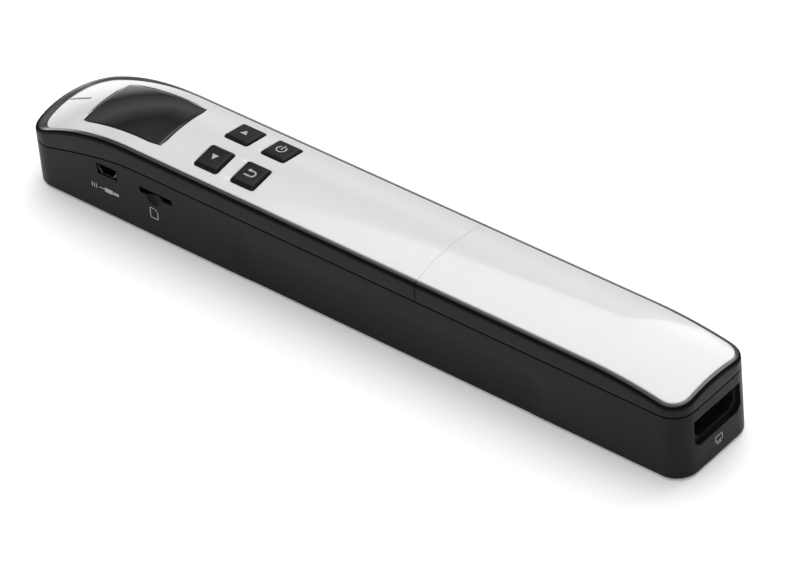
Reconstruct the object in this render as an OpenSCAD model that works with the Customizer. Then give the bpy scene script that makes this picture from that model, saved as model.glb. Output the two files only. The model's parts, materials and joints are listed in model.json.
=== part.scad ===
// Handheld wand scanner for books and documents.
// +X runs along the body from the display end to the socket end, -Y is the side with the
// ports and +Z is up.  The origin is under the middle of the body, on the surface that the
// rollers stand on.  Millimetres.

/* [Body] */
// Length of the body, end to end
body_length = 256; // [252:1:262]
// Width across the sides
body_width = 34.3; // [34:0.1:36]
// Height of the shell at its middle, from its underside
shell_height = 32.4; // [31.5:0.1:34]
// Height of the line where the covers meet the lower housing, from the underside
parting_height = 22.4; // [22:0.1:23]
// Gap that the rollers and glide pads keep under the shell
standoff = 1.0; // [0.8:0.1:1.2]
// Thickness of the housing's side walls
wall = 1.8; // [1.6:0.1:2]
// Thickness of the housing's floor
floor_thick = 1.6; // [1.4:0.1:1.8]
// Thickness of the covers under the white panels
cover_wall = 1.6; // [1.4:0.1:1.7]
// Shadow gap along the parting line and between the two covers
shadow_gap = 0.3; // [0.2:0.05:0.4]

/* [Ends] */
// Radius of the corners in plan at the socket end
socket_corner = 7.35; // [6:0.05:9]
// Radius of the corners in plan at the display end
display_corner = 8.8; // [7:0.1:10]
// How far the display end bulges past its corners
display_bulge = 3; // [2:0.1:4]
// Distance from the middle at which the display end starts to slope down
display_slope_start = 81; // [76:1:86]
// How far the white panel's surface would drop by the display end's tip
display_drop = 14; // [13:0.1:14.5]
// How far the rim around it has dropped at the display end's tip
rim_drop = 12.7; // [12:0.1:13.2]
// Distance from the middle at which the socket end starts to slope down
socket_slope_start = 94; // [90:1:100]
// How far the top has dropped at the socket end
socket_drop = 4.28; // [3:0.02:5]
// How far the parting line drops towards the display end
parting_drop = 7.1; // [6:0.1:7.5]

/* [White panels] */
// Width of the black bezel that shows around the white panels
bezel = 1.6; // [1.4:0.1:2]
// How much wider the bezel gets at the display end's tip
bezel_widening = 3; // [2:0.1:3.5]
// Rise of the crown across the white panels
crown_rise = 2.5; // [2:0.1:3]
// Thickness of the white panels
panel_thick = 1.2; // [1:0.1:1.4]
// Place of the joint between the control end and the battery cover
split_x = 30.8; // [28:0.1:33]

/* [Display] */
// Length of the display window
window_length = 32.6; // [30:0.1:34]
// Width of the display window
window_width = 21.6; // [20:0.1:22]
// Middle of the display window
window_x = -90.4; // [-92:0.1:-89]
// Length of the status light slit
slit_length = 9.6; // [8:0.2:9.8]
// Width of the status light slit
slit_width = 0.8; // [0.6:0.1:1]

/* [Buttons] */
// Side of a button cap
button_size = 9.2; // [8.5:0.1:9.6]
// Distance between buttons along the body
button_pitch_x = 14.6; // [14:0.1:15.4]
// Distance between buttons across the body
button_pitch_y = 14.3; // [13.6:0.1:14.6]
// Middle of the four buttons
button_x = -48.1; // [-50:0.1:-46]
// Height of the caps over the white panel
button_proud = 1.0; // [0.8:0.1:1.2]
// How far a button travels
button_travel = 0.5; // [0.3:0.1:0.6]

/* [Ports] */
// Middle of the mini USB socket along the body
usb_x = -92.7; // [-94:0.1:-90]
// Middle of the memory card slot along the body
card_x = -72.6; // [-75:0.1:-70]
// Length of the memory card slot
card_slot = 13.2; // [12.5:0.1:14]
// Width of the recess around the end socket
socket_width = 21.8; // [20:0.1:22]
// Height of the recess around the end socket
socket_height = 10; // [9:0.1:10]

/* [Rollers] */
// Radius of the rubber rollers
roller_r = 4.2; // [4.1:0.05:4.3]
// Length of one rubber roller
roller_length = 10; // [8:0.5:12]
// Distance of the roller shafts from the middle plane
roller_y = 10.9; // [10.8:0.05:10.95]
// Distance of the rollers from the middle along the body
roller_x = 98; // [94:1:99]
// Radius of the roller shafts
shaft_r = 1.5; // [1.4:0.05:1.5]
// Running clearance of the shafts in their bushes, measured on the radius
running_clearance = 0.04; // [0.02:0.01:0.08]

/* [Encoder gears] */
// Module of the gear teeth
gear_module = 0.4; // [0.4]
// Teeth of the gear on the front roller shaft
drive_teeth = 12; // [12]
// Teeth of the gear that turns the encoder disc
encoder_teeth = 18; // [18]

/* [Sensor] */
// Length of the image sensor bar
sensor_length = 228; // [224:1:230]
// Width of the image sensor bar
sensor_width = 12; // [11:0.5:12.4]
// Height of the image sensor bar
sensor_height = 10; // [9:0.5:10.5]

/* [Hidden] */
$fn = 96;

// Colours
black_satin = [0.10, 0.10, 0.11];
black_gloss = [0.03, 0.03, 0.035];
white_gloss = [0.93, 0.93, 0.93];
board_green = [0.05, 0.32, 0.16];
steel = [0.72, 0.72, 0.74];
rubber_grey = [0.22, 0.22, 0.23];
pom_white = [0.88, 0.87, 0.83];

// Levels and half sizes
half_l = body_length / 2;
half_w = body_width / 2;
top_z = standoff + shell_height;
parting_z = standoff + parting_height;
inner_floor = standoff + floor_thick;
inner_y = half_w - wall;
fit_gap = 0.05;
eps = 0.01;

// Plan outline: a shallow arc with two corner arcs at the display end, two corner arcs and a
// flat face at the socket end.  An inset makes all of them smaller together.
bulge_r = (half_w * half_w + display_bulge * display_bulge) / (2 * display_bulge);
bulge_x = bulge_r - half_l;
left_corner_y = half_w - display_corner;
left_corner_x = bulge_x - sqrt(pow(bulge_r - display_corner, 2) - pow(left_corner_y, 2));
left_join = 180 - atan2(left_corner_y, bulge_x - left_corner_x);
right_corner_x = half_l - socket_corner;
right_corner_y = half_w - socket_corner;
bulge_steps = 4;
corner_steps = 9;
tip_half = 0.6;

// Stations along the straight sides
slope_steps = 11;
parting_start = -(display_slope_start - 1);
left_sides = [for (i = [1 : slope_steps]) left_corner_x + (parting_start - left_corner_x) * i / slope_steps];
right_sides = [for (i = [1 : 7]) right_corner_x - (right_corner_x - socket_slope_start + 4) * i / 7];

// Slope and crown of the top
crown_k = crown_rise / pow(half_w - bezel, 2);
function slope_t(x) = max(0, -display_slope_start - x) / (half_l - display_slope_start);
function socket_t(x) = max(0, x - socket_slope_start) / (half_l - socket_slope_start);
function drop(x) = display_drop * pow(slope_t(x), 2) + socket_drop * pow(socket_t(x), 2);
function skin(x, y) = top_z - crown_k * y * y - drop(x);
// The rim leaves the panel's surface a little towards the tip
function rim_lift(x) = display_drop * pow(slope_t(x), 2) - rim_drop * pow(slope_t(x), 2.2);

// Parting line, level for most of the length
function parting_t(x) = min(1, max(0, (parting_start - x) / (parting_start - left_corner_x)));
function parting(x) = parting_z - parting_drop * pow(parting_t(x), 2) * (1.6 - 0.6 * parting_t(x));

// One half of the plan outline, from the tip to the split plane
function left_half(inset, split) = let(r = bulge_r - inset, c = display_corner - inset,
        first = 180 - asin(tip_half / r))
    concat(
        [for (i = [0 : bulge_steps]) let(a = first + (left_join - first) * i / bulge_steps)
            [bulge_x + r * cos(a), r * sin(a)]],
        [for (i = [1 : corner_steps]) let(a = left_join + (90 - left_join) * i / corner_steps)
            [left_corner_x + c * cos(a), left_corner_y + c * sin(a)]],
        [for (x = left_sides) [x, half_w - inset]],
        [[split, half_w - inset]]);
function right_half(inset, split) = let(c = socket_corner - inset)
    concat(
        [for (i = [0 : 3]) [half_l - inset, tip_half + (right_corner_y - tip_half) * i / 3]],
        [for (i = [1 : corner_steps]) let(a = 90 * i / corner_steps)
            [right_corner_x + c * cos(a), right_corner_y + c * sin(a)]],
        [for (x = right_sides) [x, half_w - inset]],
        [[split, half_w - inset]]);
function half(end, inset, split) = end == "left" ? left_half(inset, split) : right_half(inset, split);
function flip(points) = [for (p = points) [p[0], -p[1]]];
function backwards(points) = [for (i = [len(points) - 1 : -1 : 0]) points[i]];
function outline(inset) = let(l = left_half(inset, 0), r = right_half(inset, 0))
    concat(flip(backwards(l)), l, backwards(r), flip(r));

// Lofted solids with the plan of one end of the body.  Each ring is [inset, base, offset, share]:
// base "parting" follows the parting line and base "skin" follows the crowned top.  The share
// runs from 0 on the rim to 1 on the panel, whose edge draws back towards the display end.
cross_steps = 10;
panel_taper = 0.055;
function ring_z(x, y, ring) = ring[2]
    + (ring[1] == "parting" ? parting(x) : skin(x, y) + (1 - ring[3]) * rim_lift(x));
function drawn_in(points, share) = [for (p = points) let(t = slope_t(p[0]))
    [p[0] + share * bezel_widening * t * t, p[1] * (1 - share * panel_taper * t)]];
function ring_half(end, ring, split) = drawn_in(half(end, ring[0], split), ring[3]);
function ring_loop(end, ring, split) = let(h = ring_half(end, ring, split), n = len(h), m = cross_steps,
        plan = concat(flip(backwards(h)),
            [for (j = [1 : m - 1]) [h[0][0], h[0][1] * (2 * j / m - 1)]],
            h,
            [for (j = [m - 1 : -1 : 1]) [h[n - 1][0], h[n - 1][1] * (2 * j / m - 1)]]))
    [for (p = plan) [p[0], p[1], ring_z(p[0], p[1], ring)]];
function inner_grid(end, ring, split) = let(h = ring_half(end, ring, split), n = len(h), m = cross_steps)
    [for (i = [1 : n - 2]) for (j = [1 : m - 1]) let(x = h[i][0], y = h[i][1] * (2 * j / m - 1))
        [x, y, ring_z(x, y, ring)]];
function grid_index(i, j, n, m, loop_at, grid_at) =
    j == 0 ? loop_at + n - 1 - i
    : j == m ? loop_at + n - 1 + m + i
    : i == 0 ? loop_at + n - 1 + j
    : i == n - 1 ? loop_at + 2 * n - 2 + 2 * m - j
    : grid_at + (i - 1) * (m - 1) + j - 1;
function cap_faces(n, m, loop_at, grid_at, up) =
    [for (i = [0 : n - 2]) for (j = [0 : m - 1])
        let(a = grid_index(i, j, n, m, loop_at, grid_at),
            b = grid_index(i + 1, j, n, m, loop_at, grid_at),
            c = grid_index(i + 1, j + 1, n, m, loop_at, grid_at),
            d = grid_index(i, j + 1, n, m, loop_at, grid_at))
        for (t = up ? [[a, b, c], [a, c, d]] : [[a, c, b], [a, d, c]]) t];
module loft(end, rings, split) {
    n = len(half(end, 0, split));
    m = cross_steps;
    loop_n = 2 * n + 2 * m - 2;
    grid_n = (n - 2) * (m - 1);
    last = len(rings) - 1;
    points = concat([for (r = rings) for (p = ring_loop(end, r, split)) p],
        inner_grid(end, rings[0], split), inner_grid(end, rings[last], split));
    sides = [for (r = [0 : last - 1]) for (k = [0 : loop_n - 1])
        let(a = r * loop_n + k, b = r * loop_n + (k + 1) % loop_n,
            // the flat face at the split is cut into triangles alike on both sides
            other = k >= loop_n - m && k < loop_n - m / 2)
        for (t = other ? [[a, a + loop_n, b], [b, a + loop_n, b + loop_n]]
            : [[a, a + loop_n, b + loop_n], [a, b + loop_n, b]]) t];
    bottom = cap_faces(n, m, 0, (last + 1) * loop_n, false);
    top = cap_faces(n, m, last * loop_n, (last + 1) * loop_n + grid_n, true);
    faces = concat(sides, bottom, top);
    polyhedron(points, end == "left" ? [for (f = faces) backwards(f)] : faces);
}

// A patch of the crowned top with straight sides, between two offsets from the skin
module patch(x0, x1, y0, y1, low, high, nx, ny) {
    cols = ny + 1;
    cells = (nx + 1) * cols;
    points = [for (off = [low, high]) for (i = [0 : nx]) for (j = [0 : ny])
        let(x = x0 + (x1 - x0) * i / nx, y = y0 + (y1 - y0) * j / ny) [x, y, skin(x, y) + off]];
    rim = concat([for (i = [0 : nx - 1]) i * cols], [for (j = [0 : ny - 1]) nx * cols + j],
        [for (i = [nx : -1 : 1]) i * cols + ny], [for (j = [ny : -1 : 1]) j]);
    top = [for (i = [0 : nx - 1]) for (j = [0 : ny - 1]) let(a = cells + i * cols + j)
        for (t = [[a, a + 1, a + cols + 1], [a, a + cols + 1, a + cols]]) t];
    bottom = [for (i = [0 : nx - 1]) for (j = [0 : ny - 1]) let(a = i * cols + j)
        for (t = [[a, a + cols + 1, a + 1], [a, a + cols, a + cols + 1]]) t];
    sides = [for (k = [0 : len(rim) - 1])
        let(a = rim[k], b = rim[(k + 1) % len(rim)])
        for (t = [[a, a + cells, b + cells], [a, b + cells, b]]) t];
    polyhedron(points, concat(top, bottom, sides));
}

// A box between two corners
module block(low, high) {
    translate(low)
    cube([high[0] - low[0], high[1] - low[1], high[2] - low[2]]);
}

// An upright prism with a rounded rectangle for its plan
module rounded_prism(x, y, length, width, r, z0, z1) {
    translate([x, y, z0])
    linear_extrude(z1 - z0)
    union() {
        square([length - 2 * r, width], center = true);
        square([length, width - 2 * r], center = true);
        for (sx = [-1, 1])
            for (sy = [-1, 1])
                translate([sx * (length / 2 - r), sy * (width / 2 - r)])
                circle(r, $fn = 32);
    }
}

// A cylinder along X from x0 to x1
module rod_x(x0, x1, y, z, r) {
    translate([x0, y, z])
    rotate([0, 90, 0])
    cylinder(h = x1 - x0, r = r);
}

// ---------------------------------------------------------------- covers and panels

groove_low = -1.15;
groove_high = -0.62;
// The cover's outside: side band, a fine groove, then the rounded glossy bezel
cover_rings = [
    [0, "skin", groove_low, 0],
    [0.3, "skin", groove_low + 0.2, 0],
    [0.3, "skin", groove_high - 0.1, 0],
    [0.06, "skin", groove_high + 0.1, 0],
    [0.22, "skin", -0.30, 0.03],
    [0.5, "skin", -0.14, 0.12],
    [0.9, "skin", -0.04, 0.4],
    [bezel - 0.1, "skin", -0.01, 1],
    [bezel + 0.4, "skin", 0, 1]];
panel_seat = panel_thick + fit_gap;
panel_gap = 0.06;
lip_inset = cover_wall + 0.3;
lip_rise = 0.35;
ceiling = -(panel_thick + cover_wall);

// The socket end's cover is lofted too deep and cut off level at the parting line
deep = -12;
function foot(end, inset, rise, share) = end == "left" ? [inset, "parting", rise, share]
    : [inset, "skin", deep + rise, share];
module cover(end, split, past) {
    difference() {
        loft(end, concat([foot(end, 0, shadow_gap, 0)], cover_rings), split);
        loft(end, [foot(end, cover_wall, -1, 1), [cover_wall, "skin", ceiling, 1]], past);
        loft(end, [[bezel, "skin", -panel_seat, 1], [bezel, "skin", 1, 1]], past);
        if (end == "right")
            block([0, -half_w - 1, 0], [half_l + 1, half_w + 1, parting_z + shadow_gap]);
    }
}
module panel(end, split) {
    edge = bezel + panel_gap;
    loft(end, [[edge, "skin", -panel_thick, 1], [edge, "skin", -0.25, 1],
        [edge + 0.07, "skin", -0.08, 1], [edge + 0.25, "skin", 0, 1]], split);
}

left_split = split_x - shadow_gap / 2;
right_split = split_x + shadow_gap / 2;
button_places = [for (sx = [-1, 1]) for (sy = [-1, 1])
    [button_x + sx * button_pitch_x / 2, sy * button_pitch_y / 2]];
button_gap = 0.25;
button_corner = 0.9;
slit_x = -half_l + 5.2 + slit_length / 2;
ledge = 0.9;

module control_openings(window_inset, button_clear) {
    rounded_prism(window_x, 0, window_length - 2 * window_inset, window_width - 2 * window_inset,
        0.8, parting_z - 10, top_z + 2);
    for (p = button_places)
        rounded_prism(p[0], p[1], button_size + 2 * button_clear, button_size + 2 * button_clear,
            button_corner + button_clear, parting_z, top_z + 2);
    rounded_prism(slit_x, 0, slit_length, slit_width, 0.3, parting_z - 10, top_z + 2);
}

boss_r = 2.4;
cover_boss_x = [-116.5, -24, 22];
boss_y = inner_y - 1.65;
module upper_cover() {
    color(black_satin)
    union() {
        difference() {
            cover("left", left_split, left_split + 1);
            control_openings(ledge, button_gap);
        }
        // bosses that the housing screws pull down
        for (x = cover_boss_x)
            for (s = [-1, 1])
                translate([x, s * boss_y, parting(x) + lip_rise + fit_gap])
                cylinder(h = skin(x, half_w) + ceiling + 0.6 - parting(x) - lip_rise - fit_gap, r = boss_r);
        // studs that hold the control board
        for (p = [[-63, 0], [button_x, 0], [-33, 9], [-33, -9]])
            translate([p[0], p[1], control_top + eps])
            cylinder(h = skin(p[0], p[1]) + ceiling + 0.4 - control_top - eps, r = 1.3);
        // rib that closes the control end off from the battery
        rib_y = half_w - cover_wall + 0.2;
        intersection() {
            block([left_split - 1.4, -rib_y, parting_z + 0.8], [left_split - 0.2, rib_y, top_z]);
            loft("left", [[cover_wall - 0.3, "parting", 0, 0], [cover_wall - 0.3, "skin", ceiling + 0.3, 0]],
                left_split);
        }
    }
}

module control_panel() {
    color(white_gloss)
    difference() {
        panel("left", left_split);
        control_openings(-0.06, button_gap);
    }
}

// The cover's lips slide under the rails of the battery tray
lip_x = [34, 100];
lip_z = [24.1, 24.8];
lip_in = 0.85;
module battery_cover() {
    color(black_satin)
    union() {
        cover("right", right_split, right_split - 1);
        for (s = [-1, 1])
            translate([lip_x[0], s > 0 ? half_w - cover_wall - lip_in : -half_w + cover_wall - 0.1, lip_z[0]])
            cube([lip_x[1] - lip_x[0], lip_in + 0.1, lip_z[1] - lip_z[0]]);
    }
}

module battery_cover_panel() {
    color(white_gloss)
    panel("right", right_split);
}

// ---------------------------------------------------------------- lower housing

usb_w = 7.7;
usb_h = 3.9;
usb_z = standoff + 17.0;
board_top = usb_z - usb_h / 2;
board_thick = 1.6;
card_h = 2.2;
card_z = standoff + 16.4;
socket_y = 0.4;
socket_low = standoff + 8.9;
socket_step = 1.6;
socket_chamfer = 2;
pocket_x = half_l - 11;
window_y = roller_r + 0.25;
grip_r = 60;
grip_depth = 0.9;
grip_z = standoff + 9.4;
grip_x = [-34, 70];
slot_w = sensor_width - 1.2;
slot_l = sensor_length - 5;
post_places = concat([for (x = cover_boss_x) for (s = [-1, 1]) [x, s * boss_y]],
    [for (s = [-1, 1]) [118.5, s * 11.6]]);
screw_r = 0.8;
screw_head_r = 1.7;
bush_x = 108.5;
bush_r = 2.3;

// Opening with cut lower corners, run along X
module socket_shape(x0, x1, width, low, high, cut) {
    translate([x0, socket_y, 0])
    rotate([90, 0, 90])
    linear_extrude(x1 - x0)
    polygon([[-width / 2 + cut, low], [width / 2 - cut, low], [width / 2, low + cut],
        [width / 2, high], [-width / 2, high], [-width / 2, low + cut]]);
}

module grip_scoop(side) {
    y = side * (half_w + grip_r - grip_depth);
    for (x = grip_x)
        translate([x, y, grip_z])
        sphere(grip_r, $fn = 192);
    rod_x(grip_x[0], grip_x[1], y, grip_z, grip_r, $fn = 192);
}

module roller_window(x, side, length) {
    near = roller_y - window_y;
    far = roller_y + window_y;
    block([x - length / 2, min(side * near, side * far), -1],
        [x + length / 2, max(side * near, side * far), inner_floor + 0.5]);
    // clears the rim of the sensor window beside the roller
    block([x - length / 2, min(side * (sensor_width / 2), side * far), inner_floor],
        [x + length / 2, max(side * (sensor_width / 2), side * far), 2 * roller_r]);
}
module wall_ledge(x, side, length, reach, low, high) {
    block([x - length / 2, side > 0 ? reach : -inner_y - 0.3, low],
        [x + length / 2, side > 0 ? inner_y + 0.3 : -reach, high]);
}

module lower_housing() {
    color(black_satin)
    difference() {
        union() {
            difference() {
                translate([0, 0, standoff])
                linear_extrude(parting_height)
                polygon(outline(0));
                translate([0, 0, inner_floor])
                linear_extrude(parting_height)
                polygon(outline(wall));
            }
            // raised lip that backs the shadow gap
            translate([0, 0, parting_z - 2])
            linear_extrude(2)
            difference() {
                polygon(outline(wall - 0.3));
                polygon(outline(lip_inset + 0.7));
            }
            translate([0, 0, parting_z - 1])
            linear_extrude(1 + lip_rise)
            difference() {
                polygon(outline(lip_inset));
                polygon(outline(lip_inset + 0.7));
            }
            // rim around the sensor window
            difference() {
                block([-slot_l / 2 - 2.6, -sensor_width / 2 - 1.3, inner_floor - eps],
                    [slot_l / 2 + 2.6 + 2, sensor_width / 2 + 1.3, inner_floor + 2.2]);
                block([-sensor_length / 2 - 0.2, -sensor_width / 2 - 0.2, 0],
                    [sensor_length / 2 + 0.2, sensor_width / 2 + 0.2, 20]);
            }
            // ledges under the battery tray and the main board
            for (s = [-1, 1]) {
                for (x = [40, 96])
                    wall_ledge(x, s, 8, 13.6, tray_floor - 1.4, tray_floor);
                for (x = board_hole_x)
                    wall_ledge(x, s, 6, 7.4, board_top - board_thick - 1.6, board_top - board_thick);
            }
            // cradles that carry the roller bushes
            for (x = [-bush_x, bush_x])
                for (s = [-1, 1])
                    block([x - 1.2, s * roller_y - 3.7, inner_floor - eps],
                        [x + 1.2, s * roller_y + 3.7, roller_r + 1.2]);
            // posts for the screws
            for (p = post_places)
                translate([p[0], p[1], inner_floor - eps])
                cylinder(h = parting(p[0]) - inner_floor - 0.2, r = boss_r);
            // walls behind the end socket
            difference() {
                socket_shape(pocket_x - 1.4, half_l - 0.5, socket_width - 2 * socket_step + 2.4,
                    socket_low + socket_step - 1.2,
                    socket_low + socket_height - socket_step + 1.2, socket_chamfer);
                translate([pocket_x - 3, socket_y - 5.5, socket_low + socket_step])
                cube([3, 11, socket_height - 2 * socket_step]);
            }
        }
        // the parting line's slope at the display end
        translate([0, half_w + 1, 0])
        rotate([90, 0, 0])
        linear_extrude(2 * half_w + 2)
        polygon(concat([[-half_l - 1, parting(-half_l)], [left_corner_x, parting(left_corner_x)]],
            [for (x = left_sides) [x, parting(x)]],
            [[parting_start, parting_z + 5], [-half_l - 1, parting_z + 5]]));
        // sensor window and roller windows
        block([-slot_l / 2, -slot_w / 2, -1], [slot_l / 2, slot_w / 2, inner_floor + 1]);
        for (x = [-roller_x, roller_x])
            for (s = [-1, 1])
                roller_window(x, s, roller_length + 0.9);
        roller_window(drive_x, -1, 4);
        // seats of the bushes, room for their flanges, and the shafts' way past the posts
        for (s = [-1, 1]) {
            for (x = [-bush_x, bush_x]) {
                rod_x(x - 1.5, x + 1.5, s * roller_y, roller_r, bush_r + fit_gap);
                block([x - 1.5, s * roller_y - bush_r - fit_gap, roller_r],
                    [x + 1.5, s * roller_y + bush_r + fit_gap, roller_r + 5]);
                rod_x(x < 0 ? x + 1.25 : x - 2, x < 0 ? x + 2 : x - 1.25, s * roller_y, roller_r,
                    bush_r + 0.35);
            }
            rod_x(-bush_x - 3.5, bush_x + 3.5, s * roller_y, roller_r, shaft_r + 0.3);
        }
        for (x = board_hole_x)
            translate([x, main_board_y - 2.4, board_top - board_thick - 3])
            cylinder(h = 4, r = 0.95);
        // port openings in the -Y side
        block([usb_x - usb_w / 2 - 0.15, -half_w - 1, usb_z - usb_h / 2 - 0.15],
            [usb_x + usb_w / 2 + 0.15, -inner_y + 1, usb_z + usb_h / 2 + 0.15]);
        block([card_x - card_slot / 2, -half_w - 1, card_z - card_h / 2],
            [card_x + card_slot / 2, -inner_y + 1, card_z + card_h / 2]);
        intersection() {
            translate([card_x - 0.8, -half_w - 3, card_z - 0.8])
            sphere(4.5, $fn = 64);
            block([card_x - 10, -half_w - 9, 0], [card_x + 10, -inner_y + 1, card_z]);
        }
        // end socket: shallow stepped recess, then the deep pocket
        socket_shape(half_l - socket_step, half_l + 1, socket_width, socket_low,
            socket_low + socket_height, socket_chamfer);
        socket_shape(pocket_x, half_l + 1, socket_width - 2 * socket_step, socket_low + socket_step,
            socket_low + socket_height - socket_step, socket_chamfer);
        for (s = [-1, 1])
            grip_scoop(s);
        // screw holes with sunk heads
        for (p = post_places) {
            translate([p[0], p[1], -1])
            cylinder(h = 40, r = screw_r + 0.1);
            translate([p[0], p[1], -1])
            cylinder(h = 1 + standoff + 1.0, r = screw_head_r + 0.2);
        }
    }
}

// ---------------------------------------------------------------- display

module display_window() {
    color(black_gloss)
    intersection() {
        patch(window_x - window_length / 2 - 1, window_x + window_length / 2 + 1,
            -window_width / 2 - 1, window_width / 2 + 1, -panel_thick, -0.12, 12, 10);
        rounded_prism(window_x, 0, window_length, window_width, 0.8, 10, top_z + 2);
    }
}

display_tilt = -8;
module display_frame(low, high, inset) {
    translate([window_x, 0, 26.0])
    rotate([0, display_tilt, 0])
    block([-17.4 + inset, -11.8 + inset, low], [17.4 - inset, 11.8 - inset, high]);
}
module display_module() {
    color(steel)
    display_frame(-2.6, 0, 0);
}
module display_gasket() {
    color(rubber_grey)
    difference() {
        display_frame(fit_gap, 5, 0.4);
        display_frame(-1, 6, 1.7);
        patch(window_x - 22, window_x + 22, -13, 13, ceiling - fit_gap, 8, 12, 10);
    }
}

module status_light_guide() {
    color([0.3, 0.3, 0.32])
    patch(slit_x - slit_length / 2 + 0.3, slit_x + slit_length / 2 - 0.3, -slit_width / 2 + 0.08,
        slit_width / 2 - 0.08, ceiling - 0.6, -0.15, 6, 2);
}

// ---------------------------------------------------------------- buttons

flange_top = 28.85;
flange_thick = 0.8;
stem_end = 27.5;
cap_rim = 0.75;
function square_ring(size, r, n) = [for (q = [0 : 3]) for (i = [0 : n]) let(a = 90 * q + 90 * i / n,
        cx = (q == 0 || q == 3 ? 1 : -1) * (size / 2 - r), cy = (q < 2 ? 1 : -1) * (size / 2 - r))
    [cx + r * cos(a), cy + r * sin(a)]];
// Rings of the cap: [inset, offset from the skin]
cap_rings = [[0, button_proud - 0.62], [0.1, button_proud - 0.42], [cap_rim - 0.1, button_proud - 0.04],
    [cap_rim, button_proud], [cap_rim + 0.25, button_proud]];
module button_cap(x, y) {
    n = 5;
    count = 4 * (n + 1);
    base = [for (p = square_ring(button_size, button_corner, n)) [x + p[0], y + p[1], flange_top - 0.2]];
    upper = [for (r = cap_rings)
        for (p = square_ring(button_size - 2 * r[0], button_corner - min(0.5, r[0] * 0.6), n))
        [x + p[0], y + p[1], skin(x + p[0], y + p[1]) + r[1]]];
    middle = [[x, y, flange_top - 0.2], [x, y, skin(x, y) + button_proud - 0.1]];
    levels = len(cap_rings) + 1;
    points = concat(base, upper, middle);
    sides = [for (l = [0 : levels - 2]) for (k = [0 : count - 1])
        let(a = l * count + k, b = l * count + (k + 1) % count)
        for (t = [[a, a + count, b + count], [a, b + count, b]]) t];
    low = [for (k = [0 : count - 1]) [levels * count, k, (k + 1) % count]];
    high = [for (k = [0 : count - 1]) let(a = (levels - 1) * count)
        [levels * count + 1, a + (k + 1) % count, a + k]];
    polyhedron(points, concat(sides, low, high));
}
module button(x, y) {
    union() {
        button_cap(x, y);
        rounded_prism(x, y, button_size + 1.8, button_size + 1.8, 1.2, flange_top - flange_thick, flange_top);
        translate([x, y, stem_end])
        cylinder(h = flange_top - stem_end - 0.2, r = 1.6);
    }
}
module up_button() {
    color(black_gloss)
    button(button_places[1][0], button_places[1][1]);
}
module down_button() {
    color(black_gloss)
    button(button_places[0][0], button_places[0][1]);
}
module power_button() {
    color(black_gloss)
    button(button_places[3][0], button_places[3][1]);
}
module back_button() {
    color(black_gloss)
    button(button_places[2][0], button_places[2][1]);
}

control_top = 25.6;
control_thick = 1.2;
plunger_top = stem_end - button_travel - fit_gap;
module button_switches() {
    color(steel)
    for (p = button_places)
        translate([p[0], p[1], control_top]) {
            translate([-2.6, -2.6, 0])
            cube([5.2, 5.2, 0.8]);
            cylinder(h = plunger_top - control_top, r = 1.2);
        }
}
module control_board() {
    color(board_green)
    block([-66, -12.5, control_top - control_thick], [-30, 12.5, control_top]);
}

// ---------------------------------------------------------------- boards and sockets

main_board_x = [-109, 24];
main_board_y = 10.6;
board_hole_x = [-104, -18, 16];
module main_board() {
    color(board_green)
    difference() {
        union() {
            block([main_board_x[0], -main_board_y, board_top - board_thick],
                [main_board_x[1], main_board_y, board_top]);
            // tongue under the two sockets
            block([usb_x - 5, -inner_y + 0.4, board_top - board_thick],
                [card_x + 7.6, -main_board_y + 1, board_top]);
        }
        for (x = board_hole_x)
            translate([x, main_board_y - 2.4, 0])
            cylinder(h = 40, r = 1.2);
    }
}
module board_chips() {
    color(black_satin)
    union() {
        block([-56, -6, board_top], [-42, 8, board_top + 1.4]);
        block([-34, -5, board_top], [-22, 4, board_top + 1.1]);
        block([-12, -7, board_top], [-5, -1, board_top + 1.0]);
        block([-12, 2, board_top], [-2, 7, board_top + 2.2]);
        block([5, -6, board_top], [14, 5, board_top + 1.2]);
    }
}
module board_screws() {
    color(steel)
    for (x = board_hole_x)
        translate([x, main_board_y - 2.4, 0]) {
            translate([0, 0, board_top - board_thick - 2.4])
            cylinder(h = 2.4 + board_thick + 0.1, r = 0.9);
            translate([0, 0, board_top + eps])
            cylinder(h = 1.1, r = 1.9);
        }
}

usb_front = -half_w + 0.5;
usb_depth = 9;
module usb_profile(grow) {
    w = usb_w / 2 + grow;
    h = usb_h / 2 + grow;
    polygon([[-w + 1.3, -h], [w - 1.3, -h], [w - 0.6, -h + 1.2], [w, -h + 1.6], [w, h], [-w, h],
        [-w, -h + 1.6], [-w + 0.6, -h + 1.2]]);
}
module usb_tube(y0, y1, grow) {
    translate([usb_x, y1, usb_z])
    rotate([90, 0, 0])
    linear_extrude(y1 - y0)
    usb_profile(grow);
}
module usb_socket_shell() {
    color(steel)
    difference() {
        usb_tube(usb_front, usb_front + usb_depth, 0);
        usb_tube(usb_front - 1, usb_front + usb_depth - 0.8, -0.35);
    }
}
module usb_socket_tongue() {
    color(black_satin)
    union() {
        block([usb_x - 2.6, usb_front + 1.2, usb_z + 0.2],
            [usb_x + 2.6, usb_front + usb_depth - 0.8, usb_z + 1.0]);
        block([usb_x - 2.2, usb_front + usb_depth - 2.4, usb_z - 1.3],
            [usb_x + 2.2, usb_front + usb_depth - 0.8, usb_z + 1.4]);
    }
}
module card_socket() {
    color(steel)
    difference() {
        block([card_x - 6.9, -inner_y + 0.3, board_top], [card_x + 6.9, -inner_y + 14.8, board_top + 2.2]);
        block([card_x - 5.7, -inner_y - 1, board_top + 0.55],
            [card_x + 5.7, -inner_y + 13.6, board_top + 1.75]);
    }
}

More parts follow.
